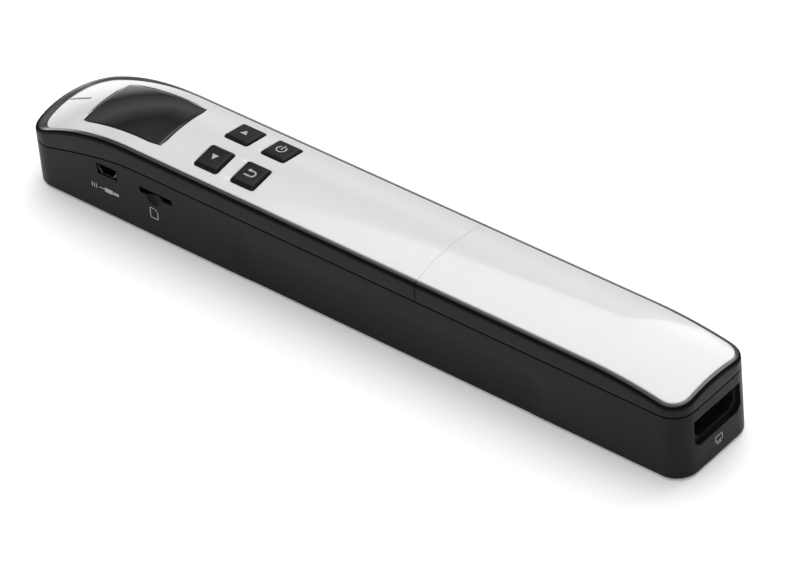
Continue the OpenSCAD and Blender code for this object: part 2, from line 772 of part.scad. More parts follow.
video_w = 15;
video_h = 5.6;
video_z = socket_low + socket_height / 2;
video_x = [pocket_x - 2, half_l - 4.5];
module video_tube(x0, x1, grow) {
    w = video_w / 2 + grow;
    h = video_h / 2 + grow;
    translate([x0, socket_y, video_z])
    rotate([90, 0, 90])
    linear_extrude(x1 - x0)
    polygon([[-w + 2.0, -h], [w - 2.0, -h], [w, -h + 1.7], [w, h], [-w, h], [-w, -h + 1.7]]);
}
module video_socket_shell() {
    color(steel)
    difference() {
        intersection() {
            video_tube(video_x[0], video_x[1], 0);
            union() {
                block([video_x[0] - 1, socket_y - 5.3, 0], [pocket_x + 0.1, socket_y + 5.3, 40]);
                block([pocket_x, -20, 0], [half_l, 20, 40]);
            }
        }
        video_tube(pocket_x, video_x[1] + 1, -0.4);
    }
}
module video_socket_tongue() {
    color(black_satin)
    block([pocket_x, socket_y - 5.4, video_z - 0.3], [video_x[1] - 1.2, socket_y + 5.4, video_z + 1.2]);
}
module socket_board() {
    color(board_green)
    block([video_x[0] - 1.3, -9, video_z - 2.6], [video_x[0] - fit_gap, 9, video_z + 5]);
}

// ---------------------------------------------------------------- battery

tray_x = [33.5, 104];
tray_y = 14.2;
tray_wall = 0.9;
tray_floor = 17.3;
rail_z = [25.1, 25.9];
rail_out = 15.2;
battery_x = [37, 99];
battery_y = 13.0;
battery_z = [18.6, 27.8];
cell_r = (battery_z[1] - battery_z[0]) / 2;
module battery_tray() {
    color(black_satin)
    union() {
        block([tray_x[0], -tray_y, tray_floor], [tray_x[1], tray_y, tray_floor + 1.2]);
        for (s = [-1, 1]) {
            translate([tray_x[0], s > 0 ? tray_y - tray_wall : -tray_y, tray_floor])
            cube([tray_x[1] - tray_x[0], tray_wall, rail_z[1] - tray_floor]);
            translate([tray_x[0], s > 0 ? tray_y - tray_wall : -rail_out, rail_z[0]])
            cube([tray_x[1] - tray_x[0], rail_out - tray_y + tray_wall, rail_z[1] - rail_z[0]]);
        }
        for (x = [tray_x[0], tray_x[1] - 1.2])
            block([x, -tray_y, tray_floor], [x + 1.2, tray_y, rail_z[1] - 1]);
    }
}
module battery_pack() {
    color([0.16, 0.17, 0.2])
    union() {
        hull()
            for (s = [-1, 1])
                rod_x(battery_x[0] + 3, battery_x[1], s * (battery_y - cell_r),
                    (battery_z[0] + battery_z[1]) / 2, cell_r, $fn = 32);
        block([battery_x[0], -battery_y + 1, battery_z[0] + 0.3],
            [battery_x[0] + 3, battery_y - 1, battery_z[1] - 0.6]);
    }
}
module battery_contacts() {
    color([0.85, 0.68, 0.3])
    for (y = [-5, 0, 5])
        block([tray_x[0] + 1.25, y - 1, 20], [battery_x[0] - fit_gap, y + 1, 25]);
}

// ---------------------------------------------------------------- image sensor

glass_low = 0.55;
glass_thick = 1.2;
sensor_low = glass_low + glass_thick;
sensor_top = sensor_low + sensor_height;
module sensor_bar(inset_x, inset_y, z0, z1) {
    block([-sensor_length / 2 + inset_x, -sensor_width / 2 + inset_y, z0],
        [sensor_length / 2 - inset_x, sensor_width / 2 - inset_y, z1]);
}
module sensor_housing() {
    color(black_satin)
    difference() {
        sensor_bar(0, 0, inner_floor + eps, sensor_top);
        sensor_bar(3, 1.2, 0, sensor_top - 3);
        sensor_bar(1.5, 1.2, sensor_top - 1.6, sensor_top + 1);
        block([-sensor_length / 2 + 5, -0.9, 0], [sensor_length / 2 - 5, 0.9, sensor_top + 1]);
    }
}
module sensor_glass() {
    color([0.55, 0.65, 0.62])
    union() {
        block([-slot_l / 2 + 0.2, -slot_w / 2 + 0.2, glass_low],
            [slot_l / 2 - 0.2, slot_w / 2 - 0.2, sensor_low]);
        block([-slot_l / 2 + 1.6, -slot_w / 2 + 0.9, sensor_low],
            [slot_l / 2 - 1.6, slot_w / 2 - 0.9, sensor_low + 1.2]);
    }
}
module sensor_lens_array() {
    color([0.2, 0.2, 0.2])
    block([-sensor_length / 2 + 6, -0.8, sensor_low + 2.2], [sensor_length / 2 - 6, 0.8, sensor_top - 2]);
}
module sensor_light_bar() {
    color([0.8, 0.86, 0.9])
    block([-sensor_length / 2 + 4, 1.4, sensor_low + 2.2],
        [sensor_length / 2 - 4, 3.6, sensor_low + 4.4]);
}
module sensor_board() {
    color(board_green)
    sensor_bar(1.6, 1.3, sensor_top - 1.5, sensor_top - 0.3);
}

// ---------------------------------------------------------------- rollers and encoder

drive_x = 65.5;
gear_width = 3;
module roller_shaft(side) {
    rod_x(-bush_x - 3, bush_x + 3, side * roller_y, roller_r, shaft_r);
}
module rollers(side) {
    for (x = [-roller_x, roller_x])
        difference() {
            rod_x(x - roller_length / 2, x + roller_length / 2, side * roller_y, roller_r, roller_r);
            rod_x(x - roller_length, x + roller_length, side * roller_y, roller_r, shaft_r);
        }
}
module front_roller_shaft() {
    color(steel)
    roller_shaft(-1);
}
module rear_roller_shaft() {
    color(steel)
    roller_shaft(1);
}
module front_rollers() {
    color(rubber_grey)
    rollers(-1);
}
module rear_rollers() {
    color(rubber_grey)
    rollers(1);
}
module roller_bushes() {
    color(pom_white)
    for (x = [-bush_x, bush_x])
        for (s = [-1, 1])
            difference() {
                union() {
                    rod_x(x - 1.3, x + 1.3, s * roller_y, roller_r, bush_r);
                    rod_x(x < 0 ? x + 1.3 : x - 1.9, x < 0 ? x + 1.9 : x - 1.3, s * roller_y, roller_r,
                        bush_r + 0.25);
                }
                rod_x(x - 5, x + 5, s * roller_y, roller_r, shaft_r + running_clearance);
            }
}

// Involute gear outline; first is the angle of the middle of one tooth
pressure_angle = 20;
backlash = 0.07;
function involute(a) = tan(a) * 180 / PI - a;
function flank(r, base_r) = involute(acos(min(1, base_r / r)));
function gear_outline(teeth, first, tip) = let(rp = gear_module * teeth / 2,
        base_r = rp * cos(pressure_angle), ra = rp + gear_module * tip, rf = rp - gear_module * 1.2,
        half_tooth = 90 / teeth - backlash / 2 / rp * 180 / PI + involute(pressure_angle))
    [for (t = [0 : teeth - 1]) let(mid = first + 360 * t / teeth)
        for (p = concat([[rf, -half_tooth]],
            [for (k = [0 : 3]) let(r = base_r + (ra - base_r) * k / 3)
                [r, -half_tooth + flank(r, base_r)]],
            [for (k = [3 : -1 : 0]) let(r = base_r + (ra - base_r) * k / 3)
                [r, half_tooth - flank(r, base_r)]],
            [[rf, half_tooth]]))
        [p[0] * cos(mid + p[1]), p[0] * sin(mid + p[1])]];
encoder_z = roller_r + gear_module * (drive_teeth + encoder_teeth) / 2 + 0.02;
encoder_r = 1.0;
module gear(x0, z, teeth, first, tip, bore) {
    difference() {
        translate([x0, -roller_y, z])
        rotate([90, 0, 90])
        linear_extrude(gear_width)
        polygon(gear_outline(teeth, first, tip));
        rod_x(x0 - 1, x0 + gear_width + 1, -roller_y, z, bore);
    }
}
module drive_gear() {
    color(pom_white)
    gear(drive_x - gear_width / 2, roller_r, drive_teeth, 90, 0.9, shaft_r);
}
module encoder_gear() {
    color(pom_white)
    gear(drive_x - gear_width / 2, encoder_z, encoder_teeth, -90 + 180 / encoder_teeth, 0.9, encoder_r);
}
disc_x = drive_x + 4.3;
disc_r = 4.0;
module encoder_disc() {
    color([0.12, 0.12, 0.12])
    difference() {
        rod_x(disc_x - 0.3, disc_x + 0.3, -roller_y, encoder_z, disc_r);
        rod_x(disc_x - 1, disc_x + 1, -roller_y, encoder_z, encoder_r);
        for (i = [0 : 11])
            translate([disc_x, -roller_y, encoder_z])
            rotate([30 * i, 0, 0])
            block([-1, -0.3, 2.2], [1, 0.3, 3.4]);
    }
}
cheek = 1.4;
bracket_in = sensor_width / 2 + 1.4;
cheek_x = [drive_x - 4.2, drive_x + 7.4];
module encoder_shaft() {
    color(steel)
    rod_x(cheek_x[0] - 0.4, cheek_x[1] + cheek + 0.4, -roller_y, encoder_z, encoder_r);
}
module encoder_bracket() {
    color(black_satin)
    difference() {
        union() {
            for (x = cheek_x)
                block([x, -inner_y + 0.6, inner_floor + eps], [x + cheek, -bracket_in, encoder_z + 5.4]);
            block([cheek_x[0], -inner_y + 0.6, encoder_z + 4.4],
                [cheek_x[1] + cheek, -bracket_in, encoder_z + 5.4]);
        }
        block([cheek_x[0] - 1, -roller_y - 2, 0], [cheek_x[1] + cheek + 1, -roller_y + 2, roller_r + 2]);
        rod_x(cheek_x[0] - 5, cheek_x[1] + 5, -roller_y, encoder_z, encoder_r + running_clearance);
    }
}
module encoder_sensor() {
    color(black_satin)
    difference() {
        block([disc_x - 1.9, -roller_y - 2, encoder_z + 1.6], [disc_x + 1.9, -roller_y + 2, encoder_z + 4.4]);
        block([disc_x - 0.8, -roller_y - 3, encoder_z + 1], [disc_x + 0.8, -roller_y + 3, encoder_z + 4.35]);
    }
}

// ---------------------------------------------------------------- cables, pads and screws

module sensor_cable() {
    color([0.85, 0.85, 0.8])
    union() {
        block([-20, 6.3, sensor_top + 0.02], [-4, 6.6, board_top - board_thick]);
        block([-20, 2, sensor_top + 0.02], [-4, 6.6, sensor_top + 0.3]);
    }
}
module control_cable() {
    color([0.85, 0.85, 0.8])
    block([-42, 9.2, board_top], [-32, 9.5, control_top - control_thick]);
}
pad_x = 60;
pad_y = 13.2;
module glide_pads() {
    color(rubber_grey)
    for (x = [-pad_x, pad_x])
        for (y = [-pad_y, pad_y])
            rounded_prism(x, y, 12, 3, 1.4, 0, standoff);
}
module housing_screws() {
    color(steel)
    for (p = post_places)
        translate([p[0], p[1], standoff + 0.1])
        difference() {
            union() {
                cylinder(h = 0.9, r = screw_head_r);
                cylinder(h = parting(p[0]) - standoff - 1.5, r = screw_r);
            }
            translate([0, 0, -1])
            cylinder(h = 1.5, r = 0.7, $fn = 6);
        }
}

lower_housing();
upper_cover();
control_panel();
battery_cover();
battery_cover_panel();
display_window();
display_module();
display_gasket();
status_light_guide();
up_button();
down_button();
power_button();
back_button();
button_switches();
control_board();
main_board();
board_chips();
usb_socket_shell();
usb_socket_tongue();
card_socket();
video_socket_shell();
video_socket_tongue();
socket_board();
battery_tray();
battery_pack();
battery_contacts();
sensor_housing();
sensor_glass();
sensor_lens_array();
sensor_light_bar();
sensor_board();
front_roller_shaft();
front_rollers();
rear_roller_shaft();
rear_rollers();
roller_bushes();
drive_gear();
encoder_gear();
encoder_disc();
encoder_shaft();
encoder_bracket();
encoder_sensor();
sensor_cable();
control_cable();
glide_pads();
housing_screws();
board_screws();
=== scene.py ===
import json
import math

import bmesh
import bpy
import numpy as np
from mathutils import Matrix, Vector


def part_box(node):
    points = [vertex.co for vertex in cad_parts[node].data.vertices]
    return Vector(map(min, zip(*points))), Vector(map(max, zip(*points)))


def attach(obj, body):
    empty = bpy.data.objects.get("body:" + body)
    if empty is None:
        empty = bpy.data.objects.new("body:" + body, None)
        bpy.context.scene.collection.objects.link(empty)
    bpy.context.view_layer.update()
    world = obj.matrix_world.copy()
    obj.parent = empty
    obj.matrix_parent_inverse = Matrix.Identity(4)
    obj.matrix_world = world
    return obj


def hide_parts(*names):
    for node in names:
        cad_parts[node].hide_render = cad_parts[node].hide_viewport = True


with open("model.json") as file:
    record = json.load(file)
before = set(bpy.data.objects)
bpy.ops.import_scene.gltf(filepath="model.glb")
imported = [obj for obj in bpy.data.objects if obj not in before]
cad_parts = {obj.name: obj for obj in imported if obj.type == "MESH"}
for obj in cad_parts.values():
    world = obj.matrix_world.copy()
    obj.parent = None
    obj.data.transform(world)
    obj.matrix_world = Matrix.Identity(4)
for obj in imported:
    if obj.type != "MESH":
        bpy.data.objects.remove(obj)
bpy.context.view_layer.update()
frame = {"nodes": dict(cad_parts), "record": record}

NODES = frame["nodes"]
MM = 0.001

# ------------------------------------------------------------------ sizes, in millimetres
housing_low, housing_high = [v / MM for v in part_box("lower_housing")]
cover_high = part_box("upper_cover")[1] / MM
HALF_L = housing_high.x
HALF_W = housing_high.y
STANDOFF = housing_low.z
TOP_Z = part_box("control_panel")[1].z / MM
PARTING_Z = STANDOFF + 22.4
WALL_IN = 1.6
GAP = 0.3
BEZEL = 1.6
WIDENING = 3.0
TAPER = 0.055
SOCKET_CORNER = 7.35
DISPLAY_CORNER = 8.8
BULGE = 3.0
SLOPE_START = 81.0
SOCKET_SLOPE = 94.0
DISPLAY_DROP = 14.0
RIM_DROP = 12.7
SOCKET_DROP = 4.28
PARTING_DROP = 7.1
CROWN_K = 2.5 / (HALF_W - BEZEL) ** 2
PANEL_THICK = 1.2
CEILING = -(PANEL_THICK + WALL_IN)
LEFT_SPLIT = cover_high.x
RIGHT_SPLIT = LEFT_SPLIT + GAP
SPLIT_GROW = 0.11
BUTTONS = {
    "up": Vector((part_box("up_button")[0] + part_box("up_button")[1])) / 2 / MM,
    "down": Vector((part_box("down_button")[0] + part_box("down_button")[1])) / 2 / MM,
    "power": Vector((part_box("power_button")[0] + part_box("power_button")[1])) / 2 / MM,
    "back": Vector((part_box("back_button")[0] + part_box("back_button")[1])) / 2 / MM,
}
BUTTON = 9.2
BUTTON_GAP = 0.25
BUTTON_CORNER = 0.9
BUTTON_PROUD = 0.82
FLANGE_LOW, FLANGE_HIGH = 28.05, 28.85
WINDOW_X, WINDOW_L, WINDOW_W = -90.4, 32.6, 21.6
WINDOW_CLEAR = 0.06
SLIT_X, SLIT_L, SLIT_W = -HALF_L + 5.2 + 4.8, 9.6, 0.8
TIP_HALF = 0.3
BOW = 0.03

# light levels, and the softbox's low edge in metres
WORLD_LEVEL, SOFTBOX_LEVEL = 1.3, 2.2
SOFTBOX_EDGE = (-0.96, 0.0, 1.42), (-0.46, 1.46, 0.55)
SOFTBOX_WIDTH = 1.5


def slope_t(x):
    """How far x lies down the display end's slope, from 0 to 1."""
    return max(0.0, -SLOPE_START - x) / (HALF_L - SLOPE_START)


def skin(x, y, share=1.0):
    """Height of the crowned top.  At share 0 the rim's own, flatter drop takes over."""
    t = slope_t(x)
    socket = max(0.0, x - SOCKET_SLOPE) / (HALF_L - SOCKET_SLOPE)
    lift = DISPLAY_DROP * t ** 2 - RIM_DROP * t ** 2.2
    return (TOP_Z - CROWN_K * y * y - DISPLAY_DROP * t ** 2 - SOCKET_DROP * socket ** 2
            + (1 - share) * lift)


BULGE_R = (HALF_W ** 2 + BULGE ** 2) / (2 * BULGE)
BULGE_X = BULGE_R - HALF_L
LEFT_CY = HALF_W - DISPLAY_CORNER
LEFT_CX = BULGE_X - math.sqrt((BULGE_R - DISPLAY_CORNER) ** 2 - LEFT_CY ** 2)
LEFT_JOIN = math.pi - math.atan2(LEFT_CY, BULGE_X - LEFT_CX)
RIGHT_CX = HALF_L - SOCKET_CORNER
RIGHT_CY = HALF_W - SOCKET_CORNER
PARTING_START = -(SLOPE_START - 1)


def parting(x):
    """Height of the parting line between the housing and the cover."""
    t = min(1.0, max(0.0, (PARTING_START - x) / (PARTING_START - LEFT_CX)))
    return PARTING_Z - PARTING_DROP * t * t * (1.6 - 0.6 * t)


def half_plan(end, inset, share, split):
    """Half of the plan outline, from the end's middle to the split plane."""
    pts = []
    if end == "left":
        r, c = BULGE_R - inset, DISPLAY_CORNER - inset
        first = math.pi - math.asin(TIP_HALF / r)
        pts += [(BULGE_X + r * math.cos(a), r * math.sin(a))
                for a in np.linspace(first, LEFT_JOIN, 12)]
        pts += [(LEFT_CX + c * math.cos(a), LEFT_CY + c * math.sin(a))
                for a in np.linspace(LEFT_JOIN, math.pi / 2, 22)[1:]]
        xs = [*np.linspace(LEFT_CX, PARTING_START, 30)[1:],
              *np.linspace(PARTING_START, split, 30)[1:]]
    else:
        c = SOCKET_CORNER - inset
        pts += [(HALF_L - inset - BOW * (y / RIGHT_CY) ** 2, y)
                for y in np.linspace(TIP_HALF, RIGHT_CY, 4)]
        pts += [(RIGHT_CX - BOW + c * math.cos(a), RIGHT_CY + c * math.sin(a))
                for a in np.linspace(0, math.pi / 2, 22)[1:]]
        xs = [*np.linspace(RIGHT_CX - BOW, SOCKET_SLOPE - 4, 24)[1:],
              *np.linspace(SOCKET_SLOPE - 4, split, 20)[1:]]
    pts += [(x, HALF_W - inset) for x in xs]
    out = []
    for x, y in pts:
        t = slope_t(x)
        out.append((x + share * WIDENING * t * t, y * (1 - share * TAPER * t)))
    return out


def new_object(name, verts, faces, mats, indices=None):
    me = bpy.data.meshes.new(name)
    me.from_pydata([Vector(v) * MM for v in verts], [], faces)
    me.update()
    for m in mats:
        me.materials.append(m)
    if indices is not None:
        me.polygons.foreach_set("material_index", indices)
    bm = bmesh.new()
    bm.from_mesh(me)
    bmesh.ops.recalc_face_normals(bm, faces=bm.faces)
    bm.to_mesh(me)
    bm.free()
    ob = bpy.data.objects.new(name, me)
    bpy.context.scene.collection.objects.link(ob)
    return ob


CROSS = 40


def loft(name, end, rings, split, mats=(), cap_index=0):
    """A closed solid over the plan outline, capped by grids at its lowest and highest ring.

    Rings are (inset, base, offset, share, material index of the strip above).
    """
    loops, grids = [], {}
    for k, (inset, base, off, share, _) in enumerate(rings):
        def z(x, y, base=base, off=off, share=share):
            level = {"parting": parting, "skin": lambda q: skin(q, y, share)}
            return off + (level[base](x) if base in level else base)
        h = half_plan(end, inset, share, split)
        plan = ([(x, -y) for x, y in reversed(h)]
                + [(h[0][0], h[0][1] * (2 * j / CROSS - 1)) for j in range(1, CROSS)]
                + h
                + [(h[-1][0], h[-1][1] * (2 * j / CROSS - 1)) for j in range(CROSS - 1, 0, -1)])
        loops.append([(x, y, z(x, y)) for x, y in plan])
        if k in (0, len(rings) - 1):
            grids[k] = [(x, y * (2 * j / CROSS - 1), z(x, y * (2 * j / CROSS - 1)))
                        for x, y in h[1:-1] for j in range(1, CROSS)]
    n, count = len(h), len(loops[0])
    verts = [p for loop in loops for p in loop]
    faces, index = [], []
    for r in range(len(rings) - 1):
        for k in range(count):
            a, b = r * count + k, r * count + (k + 1) % count
            faces.append((a, b, b + count, a + count))
            index.append(rings[r][4])
    for k in (0, len(rings) - 1):
        base_at, grid_at = k * count, len(verts)
        verts += grids[k]

        def at(i, j):
            if j == 0:
                return base_at + n - 1 - i
            if j == CROSS:
                return base_at + n - 1 + CROSS + i
            if i == 0:
                return base_at + n - 1 + j
            if i == n - 1:
                return base_at + 2 * n - 2 + 2 * CROSS - j
            return grid_at + (i - 1) * (CROSS - 1) + j - 1
        for i in range(n - 1):
            for j in range(CROSS):
                faces.append((at(i, j), at(i + 1, j), at(i + 1, j + 1), at(i, j + 1)))
                index.append(cap_index if k else rings[0][4])
    return new_object(name, verts, faces, mats, index)


def evaluated(ob):
    """Applies an object's modifiers."""
    dg = bpy.context.evaluated_depsgraph_get()
    dg.update()
    me = bpy.data.meshes.new_from_object(ob.evaluated_get(dg))
    ob.modifiers.clear()
    old = ob.data
    ob.data = me
    bpy.data.meshes.remove(old)


def carve(ob, cutters):
    """Cuts each cutter out of the object and removes it."""
    for c in cutters:
        m = ob.modifiers.new("cut", "BOOLEAN")
        m.operation = "DIFFERENCE"
        m.solver = "MANIFOLD"
        m.object = c
    evaluated(ob)
    for c in cutters:
        bpy.data.objects.remove(c, do_unlink=True)


def smooth(ob, angle=32):
    ob.data.shade_smooth()
    ob.data.set_sharp_from_angle(angle=math.radians(angle))


def rounded_rect(length, width, r, n=8):
    pts = []
    for q, (sx, sy) in enumerate([(1, 1), (-1, 1), (-1, -1), (1, -1)]):
        for i in range(n + 1):
            a = math.radians(90 * q + 90 * i / n)
            pts.append((sx * (length / 2 - r) + r * math.cos(a), sy * (width / 2 - r) + r * math.sin(a)))
    return pts


def stack(name, levels, mats=()):
    """A closed solid from loops of equal length, lowest first."""
    count = len(levels[0])
    verts = [p for level in levels for p in level]
    faces = []
    for r in range(len(levels) - 1):
        for k in range(count):
            a, b = r * count + k, r * count + (k + 1) % count
            faces.append((a, b, b + count, a + count))
    faces.append(tuple(range(count)))
    faces.append(tuple(len(verts) - count + k for k in range(count)))
    return new_object(name, verts, faces, mats)


def hole_cutter(x, y, length, width, r, edge=0.14):
    """Prism whose mouth flares into a small rounding where it meets the crowned skin."""
    steps = [(-6, 0), (-edge, 0), (-0.75 * edge, 0.04 * edge), (-0.4 * edge, 0.25 * edge),
             (-0.12 * edge, 0.6 * edge), (0, edge), (0.4, 1.2 * edge + 0.4), (3, 1.2 * edge + 0.4)]
    levels = []
    for off, grow in steps:
        pts = rounded_rect(length + 2 * grow, width + 2 * grow, r + grow, 10)
        levels.append([(x + px, y + py, skin(x + px, y + py) + off) for px, py in pts])
    return stack("cutter", levels)


# ------------------------------------------------------------------ materials
class Paint:
    """A small helper round one node material."""

    def __init__(self, name, color, rough, metallic=0.0, specular=0.5, **sockets):
        self.m = bpy.data.materials.new(name)
        self.m.use_nodes = True
        self.m.diffuse_color = (*color, 1)
        self.t = self.m.node_tree
        self.t.nodes.clear()
        self.out = self.t.nodes.new("ShaderNodeOutputMaterial")
        self.b = self.t.nodes.new("ShaderNodeBsdfPrincipled")
        self.t.links.new(self.b.outputs[0], self.out.inputs[0])
        self.set("Base Color", (*color, 1))
        self.set("Roughness", rough)
        self.set("Metallic", metallic)
        self.set("Specular IOR Level", specular)
        for k, v in sockets.items():
            self.set(k.replace("_", " "), v)
        self.coord = self.t.nodes.new("ShaderNodeTexCoord").outputs["Object"]
        self.color, self.rough = color, rough
        self.normal = None

    def set(self, socket, value):
        self.b.inputs[socket].default_value = value

    def node(self, kind, **props):
        n = self.t.nodes.new(kind)
        for k, v in props.items():
            setattr(n, k, v)
        return n

    def link(self, a, b):
        self.t.links.new(a, b)

    def noise(self, size_mm, detail=3, rough=0.55, stretch=None):
        n = self.node("ShaderNodeTexNoise")
        n.inputs["Scale"].default_value = 1.0
        n.inputs["Detail"].default_value = detail
        n.inputs["Roughness"].default_value = rough
        mp = self.node("ShaderNodeMapping")
        s = 1000.0 / size_mm
        mp.inputs["Scale"].default_value = [s / k for k in (stretch or (1, 1, 1))]
        self.link(self.coord, mp.inputs[0])
        self.link(mp.outputs[0], n.inputs["Vector"])
        return n.outputs["Fac"]

    def ramp(self, fac, stops):
        r = self.node("ShaderNodeValToRGB")
        el = r.color_ramp.elements
        while len(el) < len(stops):
            el.new(0.5)
        for e, (p, c) in zip(el, stops):
            e.position = p
            e.color = (*c, 1)
        self.link(fac, r.inputs[0])
        return r.outputs[0]

    def span(self, fac, lo, hi, a=0.3, b=0.7):
        r = self.node("ShaderNodeMapRange")
        for k, v in zip(("From Min", "From Max", "To Min", "To Max"), (a, b, lo, hi)):
            r.inputs[k].default_value = v
        self.link(fac, r.inputs[0])
        return r.outputs[0]

    def mix(self, fac, a, b):
        m = self.node("ShaderNodeMix", data_type="RGBA")
        if isinstance(fac, (int, float)):
            m.inputs[0].default_value = fac
        else:
            self.link(fac, m.inputs[0])
        for s, v in ((m.inputs[6], a), (m.inputs[7], b)):
            if isinstance(v, tuple):
                s.default_value = (*v, 1)
            else:
                self.link(v, s)
        return m.outputs[2]

    def vary(self, fac, spread=0.12):
        """Colour variation round the base colour."""
        lo = tuple(c * (1 - spread) for c in self.color)
        hi = tuple(min(1, c * (1 + spread)) for c in self.color)
        self.link(self.ramp(fac, [(0.3, lo), (0.7, hi)]), self.b.inputs["Base Color"])

    def bump(self, fac, height_mm, strength=1.0):
        b = self.node("ShaderNodeBump")
        b.inputs["Strength"].default_value = strength
        b.inputs["Distance"].default_value = height_mm * MM
        self.link(fac, b.inputs["Height"])
        if self.normal:
            self.link(self.normal, b.inputs["Normal"])
        self.normal = b.outputs[0]
        self.link(self.normal, self.b.inputs["Normal"])

    def roughen(self, fac, spread=0.06):
        self.link(self.span(fac, max(0.02, self.rough - spread), self.rough + spread),
                  self.b.inputs["Roughness"])


def make_materials():
    p = {}
    m = Paint("housing_satin_black", (0.0085, 0.0085, 0.0091), 0.42, specular=0.11)
    fine, broad = m.noise(0.22, 2), m.noise(14, 3)
    m.vary(broad, 0.18)
    m.roughen(broad, 0.05)
    m.bump(fine, 0.012, 0.55)
    m.bump(m.noise(1.6, 4), 0.006, 0.4)
    p["housing"] = m.m

    m = Paint("bezel_gloss_black", (0.006, 0.006, 0.0065), 0.14, specular=0.45,
              Coat_Weight=0.6, Coat_Roughness=0.05)
    m.vary(m.noise(9, 3), 0.25)
    m.roughen(m.noise(5, 4), 0.04)
    m.bump(m.noise(2.4, 3), 0.004, 0.35)
    p["bezel"] = m.m

    # Matt bezel edge: a matt finish whose colour is darker than bezel and band and whose reflection is
    # almost cut away, painted shade for the dark line along the crease.
    m = Paint("bezel_edge_painted_shade", (0.004, 0.004, 0.0043), 0.6, specular=0.02)
    m.vary(m.noise(9, 3), 0.25)
    m.roughen(m.noise(5, 4), 0.06)
    m.bump(m.noise(0.4, 3), 0.006, 0.4)
    p["edge"] = m.m

    # Socket shell metal: its colour is set far darker than bare steel (0.60 elsewhere), painted shade
    # for the dark socket openings.
    m = Paint("port_metal_painted_shade", (0.10, 0.10, 0.105), 0.34, metallic=1.0)
    m.vary(m.noise(2, 3), 0.15)
    m.roughen(m.noise(1, 3), 0.08)
    m.bump(m.noise(0.3, 2), 0.004, 0.4)
    p["port"] = m.m

    m = Paint("panel_gloss_white", (0.595, 0.595, 0.60), 0.22, specular=0.5,
              Coat_Weight=0.7, Coat_Roughness=0.06)
    m.vary(m.noise(30, 3), 0.008)
    m.roughen(m.noise(11, 4), 0.05)
    m.bump(m.noise(3.2, 2), 0.002, 0.25)
    m.bump(m.noise(0.5, 2), 0.0006, 0.25)
    p["panel"] = m.m

    m = Paint("window_smoked_gloss", (0.0015, 0.0015, 0.0019), 0.09, specular=0.38)
    g = m.noise(16, 2)
    m.vary(g, 0.3)
    m.roughen(m.noise(4, 5), 0.03)
    m.bump(m.noise(5, 2), 0.002, 0.3)
    p["window"] = m.m

    m = Paint("button_semi_gloss_black", (0.003, 0.003, 0.0033), 0.22, specular=0.18)
    m.vary(m.noise(3, 3), 0.2)
    m.roughen(m.noise(1.2, 4), 0.05)
    m.bump(m.noise(0.18, 2), 0.004, 0.4)
    p["button"] = m.m

    m = Paint("printed_sign_grey", (0.38, 0.38, 0.39), 0.5, specular=0.3)
    speck = m.noise(0.35, 3)
    m.vary(speck, 0.2)
    m.roughen(speck, 0.08)
    m.bump(m.noise(0.12, 2), 0.004, 0.4)
    p["sign"] = m.m

    m = Paint("light_guide_frosted", (0.05, 0.05, 0.055), 0.35, specular=0.5)
    m.vary(m.noise(1.4, 3), 0.2)
    m.roughen(m.noise(0.6, 3), 0.08)
    m.bump(m.noise(0.2, 2), 0.004, 0.5)
    p["light_guide"] = m.m

    m = Paint("steel_brushed", (0.60, 0.60, 0.61), 0.28, metallic=1.0)
    brushed = m.noise(0.16, 3, stretch=(30, 1, 1))
    m.vary(m.noise(4, 4), 0.12)
    m.roughen(brushed, 0.1)
    m.bump(brushed, 0.004, 0.5)
    p["steel"] = m.m

    m = Paint("circuit_green", (0.012, 0.075, 0.035), 0.32, specular=0.5,
              Coat_Weight=0.4, Coat_Roughness=0.15)
    brick = m.node("ShaderNodeTexBrick", offset=0.37, squash=1.6)
    for k, v in (("Scale", 240.0), ("Mortar Size", 0.06), ("Mortar Smooth", 0.1),
                 ("Brick Width", 1.7), ("Row Height", 0.22)):
        brick.inputs[k].default_value = v
    brick.inputs["Color1"].default_value = (0, 0, 0, 1)
    brick.inputs["Color2"].default_value = (0.15, 0.15, 0.15, 1)
    brick.inputs["Mortar"].default_value = (1, 1, 1, 1)
    m.link(m.coord, brick.inputs["Vector"])
    dots = m.node("ShaderNodeTexVoronoi")
    dots.inputs["Scale"].default_value = 420
    m.link(m.coord, dots.inputs["Vector"])
    pads = m.ramp(dots.outputs["Distance"], [(0.16, (1, 1, 1)), (0.2, (0, 0, 0))])
    traces = m.mix(brick.outputs["Color"], (0.010, 0.065, 0.03), (0.03, 0.16, 0.07))
    m.link(m.mix(pads, traces, (0.62, 0.50, 0.24)), m.b.inputs["Base Color"])
    m.bump(brick.outputs["Fac"], 0.02, 0.4)
    m.roughen(m.noise(2, 3), 0.08)
    p["board"] = m.m

    m = Paint("inner_matte_black", (0.014, 0.014, 0.014), 0.6, specular=0.3)
    m.vary(m.noise(6, 3), 0.2)
    m.roughen(m.noise(3, 3), 0.08)
    m.bump(m.noise(0.3, 3), 0.02, 0.5)
    p["inner"] = m.m

    m = Paint("battery_sleeve", (0.012, 0.022, 0.05), 0.3, specular=0.5)
    m.vary(m.noise(8, 3), 0.3)
    m.roughen(m.noise(2, 3), 0.08)
    m.bump(m.noise(2.2, 4, stretch=(4, 1, 1)), 0.05, 0.5)
    p["battery"] = m.m

    m = Paint("contact_gold", (0.85, 0.62, 0.26), 0.25, metallic=1.0)
    m.vary(m.noise(1, 3), 0.15)
    m.roughen(m.noise(0.5, 3), 0.1)
    m.bump(m.noise(0.2, 2), 0.004, 0.4)
    p["contact"] = m.m

    m = Paint("sensor_glass_tinted", (0.09, 0.12, 0.115), 0.05, specular=0.5,
              Coat_Weight=1.0, Coat_Roughness=0.02)
    strip = m.noise(40, 2, stretch=(20, 1, 1))
    m.vary(strip, 0.25)
    m.roughen(m.noise(6, 4), 0.02)
    m.bump(m.noise(12, 2), 0.002, 0.2)
    p["sensor_glass"] = m.m

